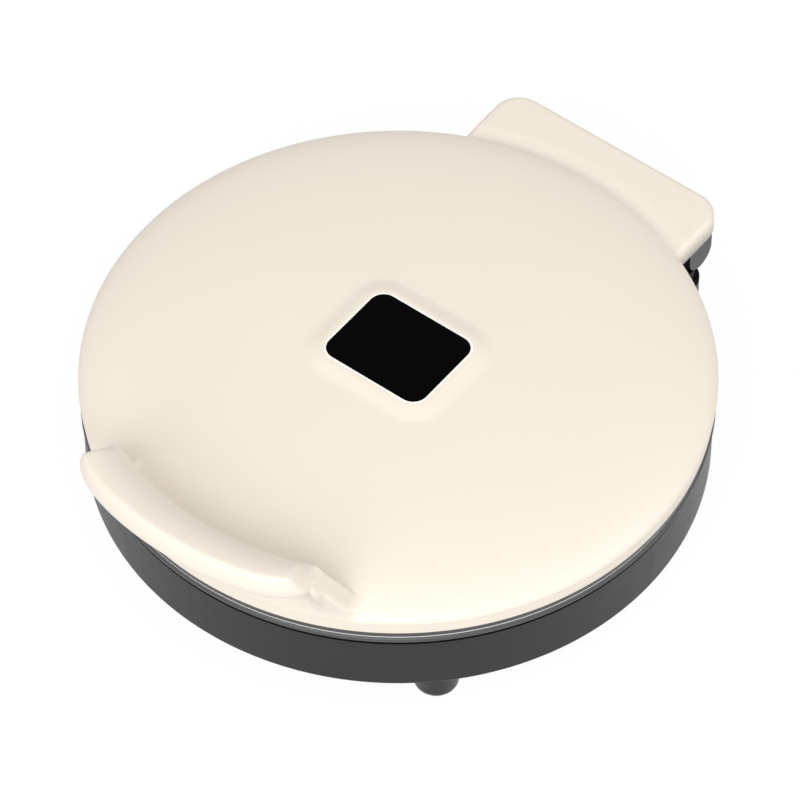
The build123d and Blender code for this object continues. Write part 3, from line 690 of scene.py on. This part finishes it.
def nonstick(name, shade, bright_radius=None):
    """Speckled, slightly pebbled coating on cast metal, which is bare past a given radius."""
    finish = Finish(name)
    cells = {"Vector": finish.place, "Scale": 900}
    speck = finish.add("ShaderNodeTexVoronoi", {"feature": "F1"}, cells, output="Distance")
    pebble = finish.noise(1500, detail=3)
    tint = finish.mix(1 - speck.ramp(0.05, 0.2), lit(shade, 0.92), lit(shade, 2.1))
    tint = finish.mix(finish.noise(40, detail=3) * 0.3, tint, lit(shade, 0.7))
    gloss = 0.34 + pebble * 0.1
    bare = 0
    if bright_radius is not None:
        turned = finish.noise(3000, vector=finish.stretched(0.02, 0.02, 1))
        bare = finish.radius().ramp(bright_radius, bright_radius + 0.2 * MM)
        bright = (0.97, 0.97, 0.96)
        tint = finish.mix(bare, tint, bright)
        gloss = gloss * (1 - bare) + bare * (0.2 + turned * 0.12)
    finish.surface(
        Base_Color=tint, Roughness=gloss, Metallic=bare, Normal=finish.bump(pebble, 0.01)
    )
    return finish


def metal(name, shade, roughness, scale=(1, 1, 1), scratches=600, stain=None):
    """Bare or plated metal with drawn or rolled marks along one way, and clouds of stain."""
    finish = Finish(name)
    drawn = finish.noise(scratches, detail=4, roughness=0.6, vector=finish.stretched(*scale))
    cloud = finish.noise(55, detail=3).ramp(0.3, 0.7)
    finish.surface(
        Base_Color=finish.mix(cloud, shade, stain or lit(shade, 0.9)),
        Metallic=1,
        Roughness=roughness - 0.06 + drawn * 0.12,
        Normal=finish.bump(drawn, 0.005),
    )
    return finish


def rubber(name, shade):
    """Matt rubber with a dusty bloom."""
    finish = Finish(name)
    bloom = finish.noise(130, detail=4, roughness=0.6)
    dusty = tuple(part + 0.02 for part in shade)
    finish.surface(
        Base_Color=finish.mix(bloom.ramp(0.45, 0.8), shade, dusty),
        Roughness=0.78 + bloom * 0.12,
        Normal=finish.bump(finish.noise(1800), 0.015),
        Specular_IOR_Level=0.35,
    )
    return finish


def sleeve(name, shade, thread):
    """Braided glass-fibre sleeving."""
    finish = Finish(name)
    bands = {"wave_type": "BANDS", "bands_direction": "DIAGONAL"}
    left, right = [
        finish.add(
            "ShaderNodeTexWave", bands, {"Vector": way, "Scale": 700, "Distortion": 1, "Detail": 1}
        )
        for way in (finish.place, finish.stretched(-1, 1, 1))
    ]
    braid = left * right
    finish.surface(
        Base_Color=finish.mix(braid, lit(shade, 0.75), thread),
        Roughness=0.6 + braid * 0.2,
        Normal=finish.bump(braid, 0.05),
    )
    return finish


def finishes(colours):
    """The finish of each material slot in the record."""
    element, scorched = written(150, 146, 138), written(112, 96, 74)
    plate, shaft, screw = written(214, 215, 217), written(198, 199, 201), written(206, 205, 198)
    terminal = written(226, 222, 208)
    return {
        "lid_plastic": cream_plastic("cream_plastic", colours.cream),
        "base_plastic": moulded("base_plastic", colours.charcoal, 0.4, 1900, 0.01, level=0.33),
        "nonstick_coating": nonstick("nonstick_coating", colours.coating),
        "trim_plastic": moulded("trim_plastic", colours.trim, 0.34, 2100, 0.006),
        "panel_plastic": gloss_panel("gloss_panel", colours.panel),
        "arm_plastic": moulded("arm_plastic", colours.arm, 0.42, 1900, 0.01),
        "hinge_plastic": moulded("hinge_plastic", colours.block, 0.5, 1700, 0.012, level=0.25),
        "foot_plastic": moulded("foot_plastic", colours.charcoal, 0.36, 1900, 0.008, level=0.38),
        "pad_rubber": rubber("pad_rubber", written(34, 34, 36)),
        "grommet_rubber": rubber("grommet_rubber", written(28, 28, 30)),
        "terminal_plastic": moulded("terminal_plastic", terminal, 0.45, 1500, 0.01),
        "wire_sleeve": sleeve("wire_sleeve", written(222, 216, 202), written(246, 243, 235)),
        "element_steel": metal("element_steel", element, 0.42, stain=scorched),
        "shield_aluminium": metal("shield_aluminium", plate, 0.3, (0.08, 1, 1), 900),
        "shaft_steel": metal("shaft_steel", shaft, 0.2, (0.05, 1, 1), 1500),
        "screw_steel": metal("screw_steel", screw, 0.28, scratches=1600),
    }


# Operators


class PAN_OT_lid_shell(bpy.types.Operator):
    """Build the domed lid with its handle and the seat of its panel"""

    bl_idname = "pan.lid_shell"
    bl_label = "Lid Shell"

    # Places of the faint step's rows under and inside the brim and the band, and the band's
    # hollow halfway down
    brim_row = mm(0.03, 0.35)
    band_rows = (mm(0, 0.7), mm(0.03, 1.2))
    band_hollow = 0.3 * MM

    # Control points of the curve that rounds the lip, from the lip's radius and height
    lip_corners = (mm(0.1, 0.6), mm(0.1, 0.2), mm(-0.1, 0), mm(-0.5, 0))
    lip_points = 5
    lip_bevel = 0.4 * MM
    inside_points = 20
    pole_radius = 1 * MM

    # Pillars of the heat shield: their circle, their foot, and the wall left over their top
    pillar_circle = 140 * MM
    pillar_foot = 11 * MM
    pillar_cover = 1.5 * MM
    pillar_radii = (4.5 * MM, 4.8 * MM)

    def execute(self, context):
        pan = context.scene.baking_pan
        form, lid = LidForm(pan), pan.lid
        shape = bmesh.new()
        row = shape.verts.layers.int.new("row")
        plain = form.plain_section()
        middle = Vector((0, form.seat.top - form.seat.pocket))
        outside = [middle, *(form.point(index, 0, plain) for index in range(len(form.rows)))]
        vertices, edges = drawn_line(shape, outside + self.rim(lid) + self.inside(lid), 0)
        for index in range(len(outside)):
            vertices[index][row] = index
        spun(shape, vertices + edges, tau, lid.columns)
        bmesh.ops.remove_doubles(shape, verts=shape.verts, dist=0.01 * MM)
        self.sculpt(shape, row, form, plain)
        self.tag_bead(shape, row, form)
        self.add_bosses(shape, form)
        # The bead's material is glossy, with a colour lighter than the cream that paints a
        # highlight round the panel.
        bead = polished_bead("polished_bead", pan.colours.bead)
        materials = (bpy.data.materials["cream_plastic"], bead.material)
        finished("lid_shell", shape, "lid", materials, ("lid_housing",))
        return {"FINISHED"}

    def rim(self, lid):
        """Flange, its faint step and the rounded lip, down from the end of the dome's curve."""
        brim = Vector((lid.radius, lid.flange_height))
        band = brim - Vector((lid.flange_step, 0))
        lip = Vector((lid.lip_radius, 0))
        corners = [lip + corner for corner in self.lip_corners]
        return [
            brim - self.brim_row,
            *(band - row for row in self.band_rows),
            Vector((band.x - self.band_hollow, band.y / 2)),
            *interpolate_bezier(*corners, self.lip_points),
        ]

    def inside(self, lid):
        """Inside of the wall and of the crown, from the lip to the middle."""
        wall, bevel = lid.wall, self.lip_bevel
        inner, crown = lid.radius - wall, lid.crown_height - wall
        foot = lid.lip_radius - wall
        dome = interpolate_bezier(
            Vector((inner, lid.flange_height - wall)), Vector((inner, lid.shoulder_height - wall)),
            Vector((lid.crown_flat, crown)), Vector((0, crown)), self.inside_points,
        )
        return [Vector((foot + bevel, 0)), Vector((foot, bevel)), *dome]

    def sculpt(self, shape, row, form, plain):
        """Gathers the columns round the handle, and lifts the rows to the seat and the handle."""
        columns = form.lid.columns
        sections = {}
        for vertex in shape.verts:
            x, y = vertex.co.x, AXIS_Y - vertex.co.y
            radius = hypot(x, y)
            if radius < self.pole_radius:
                continue
            step = round(atan2(x, y) / tau * columns) % columns
            angle = form.station(step)
            if not vertex[row]:
                vertex.co = placed(radius, vertex.co.z - LIP_Z, angle)
                continue
            if step not in sections:
                share = form.lift(angle)
                full = form.handle_section(angle) if share else plain
                sections[step] = [low.lerp(high, share) for low, high in zip(plain, full)]
            point = form.point(vertex[row] - 1, angle, sections[step])
            vertex.co = placed(point.x, point.y, angle)

    def tag_bead(self, shape, row, form):
        """Gives the pocket's wall and the bead over it their own glossy finish, whose lighter
        colour is a painted highlight.
        """
        first = form.pocket_rows
        last = form.seat_offsets.index(form.bead_end) + 1
        for face in shape.faces:
            rows = [vertex[row] for vertex in face.verts]
            if first <= min(rows) and max(rows) <= last:
                face.material_index = 1

    def add_bosses(self, shape, form):
        """Adds the four pillars that hold the heat shield."""
        offset = self.pillar_circle / sqrt(2)
        high = form.crown_height(self.pillar_circle) - self.pillar_cover
        for x in (-offset, offset):
            for y in (-offset, offset):
                add_pillar(shape, x, AXIS_Y + y, (self.pillar_foot, high), self.pillar_radii)


class PAN_OT_hinge_cover(bpy.types.Operator):
    """Build the cover over the hinge, which blends into the back of the dome"""

    bl_idname = "pan.hinge_cover"
    bl_label = "Hinge Cover"

    # The sheet starts this far up the dome's curve and this far under it. Only edges further
    # out than that start by the slack belong to the outline.
    overlap = 0.7 * MM
    sink = mm(0, 0.02)
    edge_slack = 0.05 * MM
    valley_points = 15
    valley_pull = 0.42
    flat_rows = 5
    flat_step = 7 * MM
    half_sweep = radians(30)
    sweep_steps = 60
    corner_steps = 12
    rim_steps = 8

    # Pillars of the bracket: their places, their foot, and how far they reach into the wall
    pillar_places = (-48 * MM, -16 * MM, 16 * MM, 48 * MM)
    pillar_y = 190 * MM
    pillar_foot = 3.1 * MM
    pillar_bite = 0.2 * MM
    pillar_radii = (4.5 * MM, 4.6 * MM)

    def execute(self, context):
        pan = context.scene.baking_pan
        self.cover = pan.cover
        shape = bmesh.new()
        self.top_sheet(shape, LidForm(pan))
        self.clip(shape)
        self.round_rim(shape)
        bmesh.ops.recalc_face_normals(shape, faces=shape.faces)
        if sum(face.normal.z for face in shape.faces) < 0:
            bmesh.ops.reverse_faces(shape, faces=shape.faces)
        bmesh.ops.solidify(shape, geom=shape.faces[:], thickness=self.cover.wall)
        self.add_bosses(shape)
        finish = bpy.data.materials["cream_plastic"]
        finished("hinge_cover", shape, "lid", (finish,), ("lid_housing",))
        return {"FINISHED"}

    def top_sheet(self, shape, form):
        """Spins the valley and the flat top about the pan's axis."""
        cover = self.cover
        start, way = form.dome_at(cover.start)
        end = Vector((form.lid.radius + cover.blend, cover.height))
        span = (end - start).length * self.valley_pull
        points = [start - way * self.overlap - self.sink]
        points += interpolate_bezier(
            start, start + way * span, end - Vector((span, 0)), end, self.valley_points
        )
        points += [
            end + Vector((step * self.flat_step, 0)) for step in range(1, self.flat_rows + 1)
        ]
        vertices, edges = drawn_line(shape, points, pi - self.half_sweep)
        spun(shape, vertices + edges, 2 * self.half_sweep, self.sweep_steps)
        self.inner_radius = points[0].x

    def clip(self, shape):
        """Cuts the sheet to the outline of the cover's flat top, inside its rounded rim."""
        cover = self.cover
        corner = cover.corner - cover.edge
        middle_x = cover.half_width - cover.edge - corner
        middle_y = AXIS_Y + cover.rear - cover.edge - corner
        for side in (-1, 1):
            middle = Vector((side * middle_x, middle_y, 0))
            for step in range(self.corner_steps + 1):
                turn = radians(90) * step / self.corner_steps
                way = Vector((side * cos(turn), sin(turn), 0))
                bmesh.ops.bisect_plane(
                    shape, geom=shape.verts[:] + shape.edges[:] + shape.faces[:], dist=0.001 * MM,
                    plane_co=middle + way * corner, plane_no=way, clear_outer=True,
                )

    def outward(self, place):
        """Direction square to the cover's outline at a point near it."""
        cover = self.cover
        x = abs(place.x) - (cover.half_width - cover.corner)
        y = place.y - AXIS_Y - (cover.rear - cover.corner)
        side = -1 if place.x < 0 else 1
        if y <= 0:
            return Vector((side, 0, 0))
        return Vector((side * x, y, 0)).normalized() if x > 0 else Vector((0, 1, 0))

    def round_rim(self, shape):
        """Extrudes the outline round the rim's radius and down to the lip."""
        edge, inner = self.cover.edge, self.inner_radius + self.edge_slack
        rim = [
            side for side in shape.edges if side.is_boundary
            and any(hypot(end.co.x, end.co.y - AXIS_Y) > inner for end in side.verts)
        ]
        start = {end: (end.co.copy(), self.outward(end.co)) for side in rim for end in side.verts}
        for step in range(1, self.rim_steps + 2):
            turn = radians(90) * min(step, self.rim_steps) / self.rim_steps
            ring = bmesh.ops.extrude_edge_only(shape, edges=rim)["geom"]
            following = {}
            for vertex in (part for part in ring if isinstance(part, bmesh.types.BMVert)):
                near = (side.other_vert(vertex) for side in vertex.link_edges)
                place, way = start[next(other for other in near if other in start)]
                drop = Vector((0, 0, edge * (1 - cos(turn))))
                vertex.co = place + way * edge * sin(turn) - drop
                if step > self.rim_steps:
                    vertex.co.z = LIP_Z
                following[vertex] = (place, way)
            start = following
            rim = [
                part for part in ring if isinstance(part, bmesh.types.BMEdge)
                and part.is_boundary and all(vertex in following for vertex in part.verts)
            ]

    def add_bosses(self, shape):
        """Adds the four pillars that take the bracket's screws."""
        cover = self.cover
        heights = (self.pillar_foot, cover.height - cover.wall + self.pillar_bite)
        for x in self.pillar_places:
            add_pillar(shape, x, self.pillar_y, heights, self.pillar_radii)


class PAN_OT_finishes(bpy.types.Operator):
    """Give every CAD node the finish of its material slot"""

    bl_idname = "pan.finishes"
    bl_label = "Finishes"

    machined_radius = 168.6 * MM

    def execute(self, context):
        colours = context.scene.baking_pan.colours
        made = finishes(colours)
        machined = nonstick("machined_coating", colours.coating, self.machined_radius)
        for name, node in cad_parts.items():
            # A number after a dot is Blender's own
            given = node.material_slots[0].material.name.split(".")[0]
            finish = machined if name == "upper_plate" else made[given]
            for slot in node.material_slots:
                slot.material = finish.material
        return {"FINISHED"}


def direction(turn, rise):
    """Direction at a bearing and a height over the horizon."""
    return Vector((sin(turn) * cos(rise), -cos(turn) * cos(rise), sin(rise)))


class PAN_OT_studio(bpy.types.Operator):
    """Set up the floor, the light and the camera"""

    bl_idname = "pan.studio"
    bl_label = "Studio"

    middle = Vector((0, AXIS_Y, LIP_Z))
    floor_radius = 9
    sensor_width = 36
    near, far = 0.1, 60

    def execute(self, context):
        scene, studio = context.scene, context.scene.baking_pan.studio
        self.make_floor(scene, studio)
        self.make_light(scene, studio)
        self.make_camera(scene, studio)
        scene.view_settings.view_transform = "Standard"
        return {"FINISHED"}

    def make_floor(self, scene, studio):
        """Pale floor that keeps a soft shadow and reads as white."""
        shape = bmesh.new()
        bmesh.ops.create_circle(shape, cap_ends=True, segments=96, radius=self.floor_radius)
        mesh = bpy.data.meshes.new("floor")
        shape.to_mesh(mesh)
        shape.free()
        floor = bpy.data.objects.new("floor", mesh)
        scene.collection.objects.link(floor)
        finish = Finish("pale_floor")
        finish.surface(Base_Color=(studio.floor_grey,) * 3, Roughness=0.9, Specular_IOR_Level=0.1)
        shaded = Signal(finish, finish.shader.outputs["BSDF"])
        glow = {"Color": (1, 1, 1), "Strength": studio.floor_glow}
        white = finish.add("ShaderNodeEmission", None, glow)
        layers = {0: finish.seen() * studio.floor_veil, 1: shaded, 2: white}
        mixed = finish.add("ShaderNodeMixShader", None, layers)
        finish.fill(finish.tree.nodes["Material Output"], {"Surface": mixed})
        mesh.materials.append(finish.material)

    def make_light(self, scene, studio):
        """Even light all round, which reads as white, and three large soft lamps."""
        scene.world = bpy.data.worlds.new("studio_light")
        nodes = Nodes(scene.world)
        strength = studio.sky + nodes.seen() * (1 - studio.sky)
        nodes.fill(nodes.tree.nodes["Background"], {"Color": (1, 1, 1), "Strength": strength})
        for kind in ("key", "fill", "side"):
            self.make_lamp(scene, studio, kind)

    def make_lamp(self, scene, studio, kind):
        """A round soft lamp that is turned to the pan."""
        settings = ("power", "size", "azimuth", "elevation")
        power, size, azimuth, elevation = (getattr(studio, f"{kind}_{name}") for name in settings)
        lamp = bpy.data.lights.new(f"{kind}_lamp", "AREA")
        lamp.shape, lamp.size, lamp.energy = "DISK", size, power
        source = bpy.data.objects.new(lamp.name, lamp)
        scene.collection.objects.link(source)
        way = direction(azimuth, elevation)
        source.location = self.middle + way * studio.lamp_distance
        source.rotation_euler = way.to_track_quat("Z", "Y").to_euler()

    def make_camera(self, scene, studio):
        """Camera at the bearing and distance from which the pan is shown."""
        data = bpy.data.cameras.new("camera")
        data.lens, data.sensor_width = studio.lens, self.sensor_width
        data.clip_start, data.clip_end = self.near, self.far
        camera = bpy.data.objects.new("camera", data)
        scene.collection.objects.link(camera)
        back = direction(studio.azimuth, studio.elevation)
        right = Vector((cos(studio.azimuth), sin(studio.azimuth), 0))
        up = back.cross(right)
        aim = self.middle + right * studio.aim_right - up * studio.aim_down
        camera.location = self.middle + back * studio.distance
        camera.rotation_euler = (camera.location - aim).to_track_quat("Z", "Y").to_euler()
        scene.camera = camera


class PAN_PT_baking_pan(bpy.types.Panel):
    """Steps that build the baking pan, and its sizes"""

    bl_label = "Baking Pan"
    bl_idname = "PAN_PT_baking_pan"
    bl_space_type = "VIEW_3D"
    bl_region_type = "UI"
    bl_category = "Baking Pan"

    def draw(self, context):
        layout, pan = self.layout, context.scene.baking_pan
        for operator in STEPS:
            layout.operator(operator.bl_idname)
        for part in BakingPan.__annotations__:
            box, group = layout.box(), getattr(pan, part)
            for name in type(group).__annotations__:
                box.prop(group, name)


GROUPS = (LidSizes, SeatSizes, HandleSizes, CoverSizes, Colours, StudioSettings, BakingPan)
STEPS = (PAN_OT_finishes, PAN_OT_lid_shell, PAN_OT_hinge_cover, PAN_OT_studio)


def register():
    for item in (*GROUPS, *STEPS, PAN_PT_baking_pan):
        bpy.utils.register_class(item)
    bpy.types.Scene.baking_pan = PointerProperty(type=BakingPan)


def unregister():
    del bpy.types.Scene.baking_pan
    for item in reversed((*GROUPS, *STEPS, PAN_PT_baking_pan)):
        bpy.utils.unregister_class(item)


def main():
    register()
    bpy.ops.pan.finishes()
    bpy.ops.pan.lid_shell()
    bpy.ops.pan.hinge_cover()
    bpy.ops.pan.studio()


if __name__ == "__main__":
    main()
